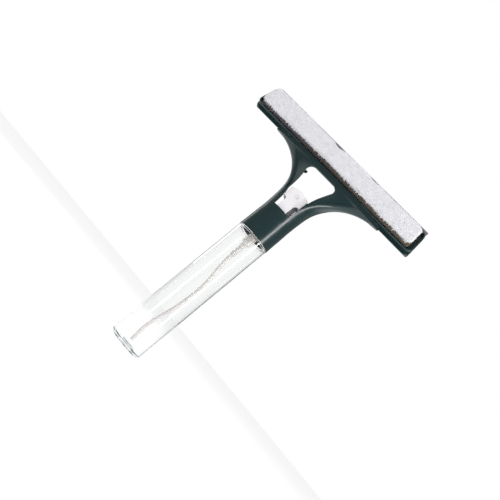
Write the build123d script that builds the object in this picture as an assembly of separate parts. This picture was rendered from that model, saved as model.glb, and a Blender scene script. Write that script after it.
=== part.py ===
"""Spray window squeegee: a bottle for a handle, a finger pump and a T-shaped head.

Millimetres. The bottle's foot stands on Z = 0 and +Z runs up the handle. X runs
along the T-bar. The wiping pad faces -Y and the rubber blade stands behind it.
"""

from build123d import *

import os
from math import cos, pi, radians, sin, tan

# Bottle, which is the handle
BOTTLE_R = 18.0
BOTTLE_WALL = 1.3
BOTTLE_BODY_H = 149.7        # foot to the step that the head's rim closes on
SPIGOT_H = 8.5
FOOT_OUTER_R = 15.5          # flat ring that the bottle stands on
FOOT_INNER_R = 11.0
FOOT_EDGE_R = 1.2
PUSH_UP_H = 2.6              # height of the domed middle of the foot
NECK_R = 9.0                 # neck without its thread
NECK_WALL = 1.6
NECK_H = 16.0
SHOULDER_W = 3.6             # flat shoulder round the neck, which carries the head's web
SHOULDER_RISE = 5.6          # from the top of the spigot to the shoulder

# Screw thread between the neck and the closure
THREAD_PITCH = 3.175
THREAD_DEPTH = 0.95
THREAD_TURNS = 1.6
THREAD_RIDGE_H = 1.3         # height of the ridge's root
THREAD_SLACK = 0.2           # the closure's groove is this much larger all round

# Clearances
SEAT_GAP = 0.1               # flat faces of bodies that part when the bottle unscrews
SLIP_GAP = 0.3               # curved faces of different bodies
RUNNING_GAP = 0.06           # shaft in its guide
FIT_GAP = 0.05               # pieces that snap or press together and stay so
SPIGOT_GAP = 0.4             # round the bottle's spigot in the head
TUBE_FIT_GAP = 0.02          # dip tube in the housing's tail

# Head: collar, web and arms
COLLAR_RIM = 0.4             # the collar stands out from the bottle by this much
COLLAR_DRAFT = 0.35          # and is this much narrower at its top
COLLAR_H = 46.0              # straight part of the collar and arms
HEAD_WALL = 2.4
WEB_T = 2.5                  # web clamped between the bottle and the closure
ARM_SWEEP_X = 52.0           # the arm's outer edge is a quarter ellipse
ARM_SWEEP_Z = 44.4
FRONT_FLAT_Y = 6.3           # how far the front panel stands out at the bar
REAR_FLAT_Y = 8.0
ARM_SQUARENESS = 1.4         # how flat the arms' section becomes half way up
WINDOW_SILL_H = 34.0         # above the collar's rim
WINDOW_SILL_HALF = 10.9
WINDOW_WAIST_H = 55.0
WINDOW_WAIST_HALF = 12.2
WINDOW_TOP_H = 88.7
WINDOW_TOP_HALF = 20.5
WINDOW_TOP_R = 6.0
WINDOW_SILL_R = 1.2
RELIEF_UP = 1.4              # hollow behind the window's upper edge
RELIEF_ANGLE = 21.0
RELIEF_SIDE = 9.5
GROOVE_IN = 4.6              # line on the arms' front, in from their outer edge
GROOVE_W = 1.0
GROOVE_DEPTH = 0.5
GROOVE_START = 8.0
REAR_OPEN_Y = 6.0            # the arms are open shells behind this plane
REAR_OPEN_UP = 1.2           # into the bar, past its underside
REAR_OPEN_R = 2.0
KEY_COUNT = 4
KEY_W = 2.4
KEY_DEPTH = 0.8              # how far the head's keys reach into the closure
KEY_H = 9.0
GUIDE_T = 1.4                # ribs beside the actuator's tongue

# T-bar, in its own tilted frame
BAR_LENGTH = 211.0
BAR_TAPER = 2.5              # each end leans in by this much over the tray's height
BAR_TILT = 10.0              # degrees that the bar leans back
BAR_FRONT_Y = -5.0           # lower front edge of the tray
BAR_FRONT_H = 95.0           # its height above the collar's rim
BAR_DEPTH = 8.5
BAR_DROP = 2.6               # the bar shows below the tray by this much
BAR_RISE = 4.2               # its underside rises this much towards the rear
BAR_CORNER_R = 6.0
BAR_EDGE_R = 2.5
BAR_WALL = 2.2
BAR_FLOOR = 2.4
BAR_RIBS = 7
RIB_T = 1.6

# Tray and pad
TRAY_H = 27.0
TRAY_DEPTH = 5.0
TRAY_RIM = 1.6
TRAY_FLOOR = 1.8
TRAY_LIP_R = 0.7
PEG_R = 1.6
PEG_L = 2.2
PEG_BOSS = 1.4               # wall left round a peg's hole
PEG_IN = (69.5, 21.5)         # in from the bar's end
PEG_UP = 7.5
PAD_MARGIN = 3.2             # between the tray's outline and the pad, above and below
PAD_END_MARGIN = 4.8         # and at the ends
PAD_CORNER_R = 5.0
HOOK_T = 0.9
HOOK_END_IN = 15.5            # in from the bar's end
HOOK_H = 15.0
HOOK_GAP = 12.0              # between the two strips of hook tape
BACKING_T = 0.9
PAD_PROUD = 9.0              # pad's face in front of the tray's rim
FACE_T = 2.1

# Rubber blade
BLADE_END_IN = 3.5            # in from the bar's end
BLADE_T = 2.0
BLADE_TIP_T = 1.0
BLADE_PROUD = 5.4            # above the top of the tray
BLADE_TAPER_H = 4.5
BLADE_ROOT_UP = 15.0         # where the bead lies, up the bar
BEAD_T = 3.4
BEAD_H = 2.6

# Pump
CLOSURE_WALL = 0.95          # outside the thread's groove
CLOSURE_TOP_T = 2.0
CLOSURE_CHAMFER = 1.6
CLOSURE_BORE_GAP = 0.3       # round the neck, inside the thread
TURRET_R = 8.0
TURRET_WALL = 0.95
TURRET_H = 6.5
GASKET_T = 1.2
HOUSING_FLANGE_T = 1.3
HOUSING_R = 4.8
CHAMBER_R = 3.9
HOUSING_L = 41.0             # from the flange's top to the shoulder
TAPER_L = 3.7
TAIL_R = 2.6
TAIL_L = 12.8
INLET_R = 1.0
INLET_SEAT_UP = 2.0          # cone under the inlet ball, above the housing's shoulder
BALL_GAP = 0.03              # under a ball in its seat
BALL_R = 1.75
SPRING_LEDGE_UP = 8.5        # ledge above the housing's shoulder
LEDGE_BORE_R = 2.3
SLEEVE_L = 6.0               # guide sleeve inside the housing
SLEEVE_FLANGE_R = 6.2
SLEEVE_FLANGE_T = 1.2
STEM_R = 2.4
STEM_BORE_R = 1.0
STEM_TOP_UP = 18.0           # above the closure's top
PISTON_H = 4.0
PISTON_WAIST = 0.7
SPRING_SHOE_H = 1.2
SPRING_SHOE_R = 3.3
SPRING_R = 2.9               # mean radius of the coil
SPRING_WIRE_R = 0.28
SPRING_TURNS = 8
STROKE = 5.5
OUTLET_BALL_R = 1.2
OUTLET_SEAT_DOWN = 4.4       # below the stem's top
OUTLET_ROOM_R = 1.5

# Dip tube, from the tail down into the bottle
DIP_R = 1.9
DIP_BORE_R = 1.3
DIP_INSERT = 11.0
DIP_ROUTE = (                # X, Y and the height as a share of the way to the tail
    (0.6, 0.5, 0.897),
    (5.6, 0.9, 0.705),
    (5.0, 0.2, 0.456),
    (-0.4, -0.9, 0.216),
    (1.4, -0.6, 0.056),
)

# Actuator
BLOCK_HALF_W = 10.5
BLOCK_UP = 12.5              # underside above the closure's top
BLOCK_H = 13.6
BLOCK_WALL = 1.8
BLOCK_REAR_CENTRE_Y = -3.2   # centre of the block's round back
DOME_R = 22.0
BLOCK_EDGE_R = 1.5
NOSE_TOP_Y = -10.6           # the front leans back from the tongue to the top
NOSE_BOTTOM_Y = -14.0
TONGUE_W = 11.5
TONGUE_T = 1.7
TONGUE_DOWN = 2.6            # below the closure's top
TONGUE_FILLET = 3.0
SKIRT_R = 6.8
SKIRT_WALL = 1.1
SKIRT_CLEAR = 0.6            # above the closure when the pump is pressed home
BOSS_R = 4.0
CHANNEL_R = 0.8
NOZZLE_UP = 6.6              # above the block's underside
INSERT_R = 2.3
INSERT_L = 3.4
ORIFICE_R = 0.3
SWIRL_R = 1.2

# Places along the bar that follow
PEG_X = [BAR_LENGTH / 2 - along for along in PEG_IN]
HOOK_L = BAR_LENGTH / 2 - HOOK_END_IN - HOOK_GAP / 2
BLADE_LENGTH = BAR_LENGTH - 2 * BLADE_END_IN

# Radii that follow
COLLAR_BOTTOM_R = BOTTLE_R + COLLAR_RIM
COLLAR_TOP_R = COLLAR_BOTTOM_R - COLLAR_DRAFT
COLLAR_BORE_R = COLLAR_TOP_R - HEAD_WALL - FIT_GAP
SPIGOT_R = COLLAR_BORE_R - SPIGOT_GAP
NECK_BORE_R = NECK_R - NECK_WALL
NECK_SHOULDER_R = NECK_R + SHOULDER_W
THREAD_R = NECK_R + THREAD_DEPTH
CLOSURE_R = THREAD_R + THREAD_SLACK + CLOSURE_WALL
GASKET_R = NECK_R - 0.2

# Heights that follow
SPIGOT_TOP_Z = BOTTLE_BODY_H + SPIGOT_H
SHOULDER_Z = SPIGOT_TOP_Z + SHOULDER_RISE
NECK_TOP_Z = SHOULDER_Z + NECK_H
COLLAR_Z = BOTTLE_BODY_H + SEAT_GAP
WEB_Z = SHOULDER_Z + SEAT_GAP
CLOSURE_Z = WEB_Z + WEB_T
GASKET_Z = NECK_TOP_Z + SEAT_GAP
FLANGE_TOP_Z = GASKET_Z + GASKET_T + HOUSING_FLANGE_T
CLOSURE_TOP_Z = FLANGE_TOP_Z + CLOSURE_TOP_T
SLEEVE_Z = FLANGE_TOP_Z - SLEEVE_L
PISTON_Z = SLEEVE_Z - PISTON_H - SLIP_GAP
SHOE_Z = PISTON_Z - SPRING_SHOE_H
HOUSING_END_Z = FLANGE_TOP_Z - HOUSING_L
LEDGE_Z = HOUSING_END_Z + SPRING_LEDGE_UP
TAIL_TOP_Z = HOUSING_END_Z - TAPER_L
TAIL_END_Z = TAIL_TOP_Z - TAIL_L
STEM_TOP_Z = CLOSURE_TOP_Z + STEM_TOP_UP
BLOCK_Z = CLOSURE_TOP_Z + BLOCK_UP
BLOCK_TOP_Z = BLOCK_Z + BLOCK_H
NOZZLE_Z = BLOCK_Z + NOZZLE_UP
TONGUE_Z = CLOSURE_TOP_Z - TONGUE_DOWN
SKIRT_Z = CLOSURE_TOP_Z + STROKE + SKIRT_CLEAR
ARM_Z = COLLAR_Z + COLLAR_H
ARM_TOP_Z = ARM_Z + ARM_SWEEP_Z
SILL_Z = COLLAR_Z + WINDOW_SILL_H
BAR_Z = COLLAR_Z + BAR_FRONT_H
PAD_BASE = TRAY_FLOOR - TRAY_DEPTH + HOOK_T + SEAT_GAP
COLLAR_TAPER_Z = COLLAR_Z + COLLAR_H / 2
THREAD_START_Z = NECK_TOP_Z - 2.0 - THREAD_RIDGE_H - THREAD_TURNS * THREAD_PITCH

# The bar's frame: X along the bar, Y up its face, Z out towards the pad
BAR = Location(
    Plane(
        origin=(0, BAR_FRONT_Y, BAR_Z),
        x_dir=(1, 0, 0),
        z_dir=(0, -cos(radians(BAR_TILT)), sin(radians(BAR_TILT))),
    )
)


# Helpers

def rod(radius, low, high):
    return Pos(0, 0, low) * Cylinder(
        radius, high - low, align=(Align.CENTER, Align.CENTER, Align.MIN)
    )


def tube(radius, bore, low, high):
    return rod(radius, low, high) - rod(bore, low - 1, high + 1)


def block(x, y, z):
    """A box from pairs of low and high coordinates."""
    return Pos(x[0], y[0], z[0]) * Box(
        x[1] - x[0], y[1] - y[0], z[1] - z[0], align=(Align.MIN, Align.MIN, Align.MIN)
    )


def turned(points):
    """Revolve an outline of (radius, height) points about Z."""
    outline = Polyline(*[(r, 0, z) for r, z in points], close=True)
    return revolve(make_face(outline), Axis.Z)


def trapezoid(length, low, high, taper, corner):
    """A plate outline on XY, narrower at its upper edge, with round corners."""
    half = length / 2
    lean = taper * (high - low) / TRAY_H
    outline = make_face(
        Polyline((-half, low), (half, low), (half - lean, high), (lean - half, high), close=True)
    )
    return fillet(outline.vertices(), corner)


def thread(grow, start, turns):
    """The ridge on the neck, or with grow the groove that it runs in."""
    root = NECK_R - 0.3
    crest = THREAD_R + grow
    half_root = THREAD_RIDGE_H / 2 + grow
    half_crest = THREAD_RIDGE_H / 4 + grow
    path = Helix(THREAD_PITCH, turns * THREAD_PITCH, root)
    profile = Plane(origin=(root, 0, 0), x_dir=(1, 0, 0), z_dir=path % 0) * make_face(
        Polyline(
            (0, -half_root),
            (crest - root, -half_crest),
            (crest - root, half_crest),
            (0, half_root),
            close=True,
        )
    )
    return Pos(0, 0, start + THREAD_RIDGE_H / 2) * sweep(profile, path=path, is_frenet=True)


# Head

def arm_section(half_x, front_y, rear_y, z, power):
    """One level of the head: a circle at the collar, flattening towards the bar."""
    middle = (rear_y - front_y) / 2
    half_y = (rear_y + front_y) / 2
    count = 24
    points = []
    for i in range(count):
        angle = 2 * pi * i / count
        c, s = cos(angle), sin(angle)
        reach_x = half_x * abs(c) ** (2 / power) * (1 if c > 0 else -1)
        reach_y = half_y * abs(s) ** (2 / power) * (1 if s > 0 else -1)
        points.append(Vector(reach_x, middle + reach_y, z))
    edge = Edge.make_spline(
        points, periodic=True, parameters=[i / count for i in range(count + 1)]
    )
    return Face(Wire([edge]))


def head_level(half_x, z, inset):
    """The section at a height: its front and rear ease from the collar to the bar."""
    rise = min(max((z - ARM_Z + 6) / (ARM_SWEEP_Z + 6), 0), 1)
    ease = (1 - cos(pi * rise)) / 2
    front = COLLAR_TOP_R + (FRONT_FLAT_Y - COLLAR_TOP_R) * ease - inset
    rear = COLLAR_TOP_R + (REAR_FLAT_Y - COLLAR_TOP_R) * ease - inset
    return arm_section(half_x, front, rear, z, 2 + ARM_SQUARENESS * sin(pi * rise))


def head_mass(inset, top_z):
    """The arms' outer form above the collar, or with inset the form inside the wall."""
    centre_x = COLLAR_TOP_R + ARM_SWEEP_X
    sweep_x = ARM_SWEEP_X + inset
    sweep_z = ARM_SWEEP_Z + inset
    levels = []
    for z in (COLLAR_TAPER_Z, ARM_Z - COLLAR_H / 4):
        levels.append(head_level(COLLAR_TOP_R - inset, z, inset))
    for i in range(9):
        angle = pi / 2 * i / 8
        z = ARM_Z + sweep_z * sin(angle)
        if z > top_z:
            break
        levels.append(head_level(centre_x - sweep_x * cos(angle), z, inset))
    return loft(levels)


def collar_mass():
    """The collar narrows a little from its rim to where the arms' form begins."""
    rim = arm_section(COLLAR_BOTTOM_R, COLLAR_BOTTOM_R, COLLAR_BOTTOM_R, COLLAR_Z, 2)
    return loft([rim, head_level(COLLAR_TOP_R, COLLAR_TAPER_Z, 0)], ruled=True)


def window():
    sill, waist = SILL_Z, COLLAR_Z + WINDOW_WAIST_H
    top = COLLAR_Z + WINDOW_TOP_H
    lines = []
    for side in (1, -1):
        edge = Line((side * WINDOW_SILL_HALF, sill), (side * WINDOW_WAIST_HALF, waist))
        flare = TangentArc(edge @ 1, (side * WINDOW_TOP_HALF, top), tangent=edge % 1)
        lines += [edge, flare]
    lines.append(Line(lines[1] @ 1, lines[3] @ 1))
    lines.append(Line(lines[0] @ 0, lines[2] @ 0))
    outline = make_face(Curve() + lines)
    upper = outline.vertices().group_by(Axis.Y)[-1]
    outline = fillet(upper, WINDOW_TOP_R)
    lower = outline.vertices().group_by(Axis.Y)[0]
    outline = fillet(lower, WINDOW_SILL_R)
    return extrude(Plane.XZ * outline, 40, both=True)


def bar_block():
    plate = trapezoid(BAR_LENGTH, -BAR_DROP, TRAY_H, BAR_TAPER, BAR_CORNER_R)
    solid = Pos(0, 0, -TRAY_DEPTH - BAR_DEPTH) * extrude(plate, BAR_DEPTH)
    rear_z = -TRAY_DEPTH - BAR_DEPTH
    slope = Polyline(
        (0, -BAR_DROP, -TRAY_DEPTH),
        (0, BAR_RISE - BAR_DROP, rear_z),
        (0, BAR_RISE - BAR_DROP, rear_z - 5),
        (0, -BAR_DROP - 5, rear_z - 5),
        (0, -BAR_DROP - 5, -TRAY_DEPTH),
        close=True,
    )
    solid -= extrude(make_face(slope), BAR_LENGTH, both=True)
    rear = solid.faces().sort_by(Axis.Z)[0]
    return fillet(rear.edges(), BAR_EDGE_R)


def bar_pockets():
    """Cored pockets in the back of the bar, with ribs left between them."""
    rear = -TRAY_DEPTH - BAR_DEPTH - 1
    half = BAR_LENGTH / 2 - BAR_TAPER - BAR_WALL - 3
    low = Pos(0, 0, rear) * extrude(
        trapezoid(2 * half, BAR_WALL + BAR_RISE - BAR_DROP, BLADE_ROOT_UP - BAR_WALL, 0, 1.0),
        BAR_DEPTH + 1 - BAR_FLOOR,
    )
    groove_depth = BEAD_T + BAR_FLOOR
    high = Pos(0, 0, rear) * extrude(
        trapezoid(2 * half, BLADE_ROOT_UP, TRAY_H - BAR_WALL, 0, 1.0),
        BAR_DEPTH + 1 - groove_depth,
    )
    pockets = low + high
    step = 2 * half / (BAR_RIBS + 1)
    for i in range(BAR_RIBS):
        x = -half + step * (i + 1)
        pockets -= block((x - RIB_T / 2, x + RIB_T / 2), (-50, 50), (-50, 50))
    for x in PEG_X:
        for side in (-1, 1):
            pockets -= Pos(side * x, PEG_UP, -TRAY_DEPTH) * Cylinder(PEG_R + PEG_BOSS, 40)
    return pockets


def blade_profile(gap):
    """The blade's section on the bar's YZ plane, with room round it for its groove."""
    back = -TRAY_DEPTH - BLADE_T - gap
    bead_back = -TRAY_DEPTH - BEAD_T - gap
    root = BLADE_ROOT_UP - gap
    bead_top = BLADE_ROOT_UP + BEAD_H + gap
    tip = TRAY_H + BLADE_PROUD
    front = -TRAY_DEPTH
    return [
        (front, root),
        (bead_back, root),
        (bead_back, bead_top),
        (back, bead_top),
        (back, tip - BLADE_TAPER_H),
        (-TRAY_DEPTH - BLADE_T, tip),
        (-TRAY_DEPTH - BLADE_T + BLADE_TIP_T, tip),
        (front, tip - BLADE_TAPER_H),
    ]


def blade_solid(gap, length):
    outline = Polyline(*[(0, y, z) for z, y in blade_profile(gap)], close=True)
    return extrude(make_face(outline), length / 2, both=True)


def tray_pegs(gap, reach):
    pegs = Part()
    for x in PEG_X:
        for side in (-1, 1):
            pegs += Pos(side * x, PEG_UP, -TRAY_DEPTH - reach) * Cylinder(
                PEG_R + gap, reach + 0.5, align=(Align.CENTER, Align.CENTER, Align.MIN)
            )
    return pegs


def rear_opening():
    """What is cut away behind the arms, between the collar and the bar."""
    top = BAR_Z - BAR_DROP + REAR_OPEN_UP
    outline = Polyline(
        (0, REAR_OPEN_Y, SILL_Z),
        (0, 40, SILL_Z),
        (0, 40, top),
        (0, REAR_OPEN_Y, top),
        close=True,
    )
    cut = extrude(make_face(outline), 90, both=True)
    inner = cut.edges().filter_by(Axis.X).sort_by(Axis.Y)[:2]
    return fillet(inner, REAR_OPEN_R)


def window_relief():
    """Behind the window's upper edge, the skin stands alone in front of the bar's underside."""
    skin_y = HEAD_WALL - FRONT_FLAT_Y
    skin_z = COLLAR_Z + WINDOW_TOP_H + RELIEF_UP
    reach = 16
    outline = Polyline(
        (0, skin_y, skin_z - 6),
        (0, skin_y, skin_z),
        (0, skin_y + reach, skin_z + reach * tan(radians(RELIEF_ANGLE))),
        (0, skin_y + reach, skin_z - 6),
        close=True,
    )
    return extrude(make_face(outline), WINDOW_TOP_HALF + RELIEF_SIDE, both=True)


def panel_grooves():
    """Shallow lines that part the arms' flat front from their round flanks."""
    skin = head_mass(0, ARM_TOP_Z) - head_mass(GROOVE_DEPTH, ARM_TOP_Z)
    rings = Part()
    for side in (-1, 1):
        centre = Pos(side * (COLLAR_TOP_R + ARM_SWEEP_X), ARM_Z)
        ring = Ellipse(ARM_SWEEP_X + GROOVE_IN + GROOVE_W, ARM_SWEEP_Z + GROOVE_IN + GROOVE_W)
        ring -= Ellipse(ARM_SWEEP_X + GROOVE_IN, ARM_SWEEP_Z + GROOVE_IN)
        rings += extrude(Plane.XZ * centre * ring, 40)
    rings &= block((-90, 90), (-50, 0), (ARM_Z + GROOVE_START, ARM_TOP_Z - 0.5))
    return skin & rings


def collar_ribs():
    """Keys that hold the closure from turning, and guides beside the tongue."""
    ribs = Part()
    for i in range(KEY_COUNT):
        key = block(
            (CLOSURE_R - KEY_DEPTH + FIT_GAP, COLLAR_BORE_R + 0.4),
            (-KEY_W / 2, KEY_W / 2),
            (CLOSURE_Z, CLOSURE_Z + KEY_H),
        )
        ribs += Rot(0, 0, 45 + 360 / KEY_COUNT * i) * key
    for side in (-1, 1):
        near = TONGUE_W / 2 + SLIP_GAP
        xs = sorted((side * near, side * (near + GUIDE_T)))
        ribs += block(xs, (-COLLAR_BORE_R + 1.0, NOSE_BOTTOM_Y + 2.6), (CLOSURE_Z, SILL_Z - 0.5))
    return ribs & rod(COLLAR_BORE_R + 0.3, CLOSURE_Z - 1, SILL_Z)


def head_frame():
    shell = collar_mass() + head_mass(0, ARM_TOP_Z + 1)
    cap = head_level(COLLAR_TOP_R + ARM_SWEEP_X, ARM_TOP_Z, 0)
    shell += extrude(cap, BAR_Z + 2 - ARM_TOP_Z, dir=(0, 0, 1))
    shell -= head_mass(HEAD_WALL, ARM_TOP_Z)
    shell -= rod(COLLAR_BORE_R, COLLAR_Z - 1, COLLAR_TAPER_Z + 3)
    shell -= rear_opening()
    shell -= window_relief()
    shell += tube(COLLAR_BORE_R + 0.5, NECK_R + THREAD_DEPTH + SLIP_GAP, WEB_Z, CLOSURE_Z)
    shell += collar_ribs()
    tray_room = extrude(
        trapezoid(BAR_LENGTH + 20, 0, TRAY_H + 30, 0, 1.0), 40, both=True
    )
    front_room = BAR * (tray_room - Pos(0, 0, -TRAY_DEPTH - 40) * Box(400, 400, 80))
    shell -= front_room
    shell -= window()
    shell -= panel_grooves()
    bar = bar_block() - bar_pockets()
    bar -= blade_solid(FIT_GAP, BAR_LENGTH + 10)
    bar -= tray_pegs(FIT_GAP, PEG_L + 0.3)
    return shell + BAR * bar


def pad_tray():
    outline = trapezoid(BAR_LENGTH, 0, TRAY_H, BAR_TAPER, BAR_CORNER_R)
    tray = Pos(0, 0, -TRAY_DEPTH) * extrude(outline, TRAY_DEPTH)
    inside = trapezoid(
        BAR_LENGTH - 2 * TRAY_RIM, TRAY_RIM, TRAY_H - TRAY_RIM, BAR_TAPER, BAR_CORNER_R - TRAY_RIM
    )
    tray -= Pos(0, 0, TRAY_FLOOR - TRAY_DEPTH) * extrude(inside, TRAY_DEPTH)
    rim = tray.faces().sort_by(Axis.Z)[-1]
    tray = fillet(rim.outer_wire().edges(), TRAY_LIP_R)
    return BAR * (tray + tray_pegs(0, PEG_L))


def wiper_blade():
    return BAR * blade_solid(0, BLADE_LENGTH)


def hook_strips():
    base = TRAY_FLOOR - TRAY_DEPTH
    strips = Part()
    for side in (-1, 1):
        strip = Pos(side * (HOOK_L + HOOK_GAP) / 2, TRAY_H / 2) * RectangleRounded(
            HOOK_L, HOOK_H, 1.5
        )
        strips += Pos(0, 0, base) * extrude(strip, HOOK_T)
    return BAR * strips


def pad_layer(low, high):
    outline = trapezoid(
        BAR_LENGTH - 2 * PAD_END_MARGIN, PAD_MARGIN, TRAY_H - PAD_MARGIN, BAR_TAPER, PAD_CORNER_R
    )
    return BAR * Pos(0, 0, low) * extrude(outline, high - low)


def pad_backing():
    return pad_layer(PAD_BASE, PAD_BASE + BACKING_T)


def pad_foam():
    return pad_layer(PAD_BASE + BACKING_T, PAD_PROUD - FACE_T)


def pad_face():
    return pad_layer(PAD_PROUD - FACE_T, PAD_PROUD)


# Bottle and pump

def bottle():
    wall = BOTTLE_WALL
    neck_thick = NECK_R - NECK_BORE_R
    outer = turned([
        (0, PUSH_UP_H),
        (FOOT_INNER_R - 4, PUSH_UP_H),
        (FOOT_INNER_R, 0),
        (FOOT_OUTER_R, 0),
        (BOTTLE_R, BOTTLE_R - FOOT_OUTER_R),
        (BOTTLE_R, BOTTLE_BODY_H),
        (SPIGOT_R, BOTTLE_BODY_H),
        (SPIGOT_R, SPIGOT_TOP_Z),
        (NECK_SHOULDER_R, SHOULDER_Z),
        (NECK_R, SHOULDER_Z),
        (NECK_R, NECK_TOP_Z),
        (0, NECK_TOP_Z),
    ])
    foot_edge = outer.edges().filter_by(GeomType.CIRCLE).group_by(Axis.Z)[1:3]
    corners = [e for group in foot_edge for e in group if e.radius > FOOT_OUTER_R - 0.1]
    outer = fillet(corners, FOOT_EDGE_R)
    inner = turned([
        (0, PUSH_UP_H + wall),
        (FOOT_INNER_R - 4 + wall, PUSH_UP_H + wall),
        (FOOT_INNER_R + wall / 2, wall),
        (FOOT_OUTER_R - wall / 2, wall),
        (BOTTLE_R - wall, BOTTLE_R - FOOT_OUTER_R + wall / 2),
        (BOTTLE_R - wall, BOTTLE_BODY_H - wall),
        (SPIGOT_R - wall, BOTTLE_BODY_H - wall),
        (SPIGOT_R - wall, SPIGOT_TOP_Z),
        (NECK_SHOULDER_R - wall, SHOULDER_Z - neck_thick),
        (NECK_BORE_R, SHOULDER_Z - neck_thick),
        (NECK_BORE_R, NECK_TOP_Z + 1),
        (0, NECK_TOP_Z + 1),
    ])
    return outer - inner + thread(0, THREAD_START_Z, THREAD_TURNS)


def pump_closure():
    bore = NECK_R + CLOSURE_BORE_GAP
    cap = rod(CLOSURE_R, CLOSURE_Z, CLOSURE_TOP_Z)
    cap = chamfer(cap.edges().sort_by(Axis.Z)[-1], CLOSURE_CHAMFER)
    cap += rod(TURRET_R, CLOSURE_TOP_Z - 1, CLOSURE_TOP_Z + TURRET_H)
    cap -= rod(TURRET_R - TURRET_WALL, CLOSURE_TOP_Z, CLOSURE_TOP_Z + TURRET_H + 1)
    cap -= rod(bore, CLOSURE_Z - 1, FLANGE_TOP_Z)
    cap -= rod(SLEEVE_FLANGE_R + FIT_GAP, FLANGE_TOP_Z - 1, CLOSURE_TOP_Z + 1)
    below = int((THREAD_START_Z - CLOSURE_Z) / THREAD_PITCH) + 1
    turns = THREAD_TURNS + below + 0.15
    cap -= thread(THREAD_SLACK, THREAD_START_Z - below * THREAD_PITCH, turns)
    for i in range(KEY_COUNT):
        slot = block(
            (CLOSURE_R - KEY_DEPTH, CLOSURE_R + 1),
            (-KEY_W / 2 - FIT_GAP, KEY_W / 2 + FIT_GAP),
            (CLOSURE_Z - 1, CLOSURE_Z + KEY_H + FIT_GAP),
        )
        cap -= Rot(0, 0, 45 + 360 / KEY_COUNT * i) * slot
    return cap


def neck_gasket():
    return tube(GASKET_R, HOUSING_R + SLIP_GAP, GASKET_Z, GASKET_Z + GASKET_T)


def pump_housing():
    seat_z = HOUSING_END_Z + INLET_SEAT_UP
    outer = turned([
        (0, FLANGE_TOP_Z),
        (GASKET_R, FLANGE_TOP_Z),
        (GASKET_R, FLANGE_TOP_Z - HOUSING_FLANGE_T),
        (HOUSING_R, FLANGE_TOP_Z - HOUSING_FLANGE_T),
        (HOUSING_R, HOUSING_END_Z),
        (TAIL_R, TAIL_TOP_Z),
        (TAIL_R, TAIL_END_Z),
        (0, TAIL_END_Z),
    ])
    inner = turned([
        (0, FLANGE_TOP_Z + 1),
        (CHAMBER_R, FLANGE_TOP_Z + 1),
        (CHAMBER_R, LEDGE_Z),
        (LEDGE_BORE_R, LEDGE_Z),
        (LEDGE_BORE_R, seat_z),
        (INLET_R, seat_z - (LEDGE_BORE_R - INLET_R)),
        (INLET_R, TAIL_END_Z + DIP_INSERT),
        (DIP_R + TUBE_FIT_GAP, TAIL_END_Z + DIP_INSERT),
        (DIP_R + TUBE_FIT_GAP, TAIL_END_Z - 1),
        (0, TAIL_END_Z - 1),
    ])
    return outer - inner


def ball_rest_z(ball, bore, seat_z):
    """Height of a ball's centre resting in a 45 degree seat."""
    return seat_z - bore + ball * 2 ** 0.5


def inlet_ball():
    centre = ball_rest_z(BALL_R, LEDGE_BORE_R, HOUSING_END_Z + INLET_SEAT_UP) + BALL_GAP
    return Pos(0, 0, centre) * Sphere(BALL_R)


def guide_sleeve():
    bore = STEM_R + RUNNING_GAP
    sleeve = tube(CHAMBER_R - FIT_GAP, bore, SLEEVE_Z, FLANGE_TOP_Z)
    return sleeve + tube(SLEEVE_FLANGE_R, bore, FLANGE_TOP_Z, FLANGE_TOP_Z + SLEEVE_FLANGE_T)


def pump_stem():
    seat = STEM_TOP_Z - OUTLET_SEAT_DOWN
    outer = rod(STEM_R, SHOE_Z, STEM_TOP_Z) + rod(SPRING_SHOE_R, SHOE_Z, PISTON_Z)
    bore = turned([
        (0, PISTON_Z + 1),
        (STEM_BORE_R, PISTON_Z + 1),
        (STEM_BORE_R, seat - (OUTLET_ROOM_R - STEM_BORE_R)),
        (OUTLET_ROOM_R, seat),
        (OUTLET_ROOM_R, STEM_TOP_Z + 1),
        (0, STEM_TOP_Z + 1),
    ])
    port = Pos(0, 0, SHOE_Z + SPRING_SHOE_H / 2) * Rot(0, 90, 0) * Cylinder(0.4, 12)
    inlet = rod(STEM_BORE_R, SHOE_Z - 1, PISTON_Z + 2)
    return outer - bore - inlet - port


def pump_piston():
    wide = CHAMBER_R - RUNNING_GAP
    narrow = wide - PISTON_WAIST
    outline = [
        (STEM_R, PISTON_Z),
        (wide, PISTON_Z),
        (wide, PISTON_Z + 1.0),
        (narrow, PISTON_Z + 1.6),
        (narrow, PISTON_Z + PISTON_H - 1.6),
        (wide, PISTON_Z + PISTON_H - 1.0),
        (wide, PISTON_Z + PISTON_H),
        (STEM_R, PISTON_Z + PISTON_H),
    ]
    return turned(outline)


def return_spring():
    low = LEDGE_Z + SPRING_WIRE_R
    high = SHOE_Z - SPRING_WIRE_R
    path = Helix((high - low) / SPRING_TURNS, high - low, SPRING_R)
    profile = Plane(origin=(SPRING_R, 0, 0), z_dir=path % 0) * Circle(SPRING_WIRE_R)
    return Pos(0, 0, low) * sweep(profile, path=path, is_frenet=True)


def outlet_ball():
    seat = STEM_TOP_Z - OUTLET_SEAT_DOWN
    centre = ball_rest_z(OUTLET_BALL_R, OUTLET_ROOM_R, seat) + BALL_GAP
    return Pos(0, 0, centre) * Sphere(OUTLET_BALL_R)


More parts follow.
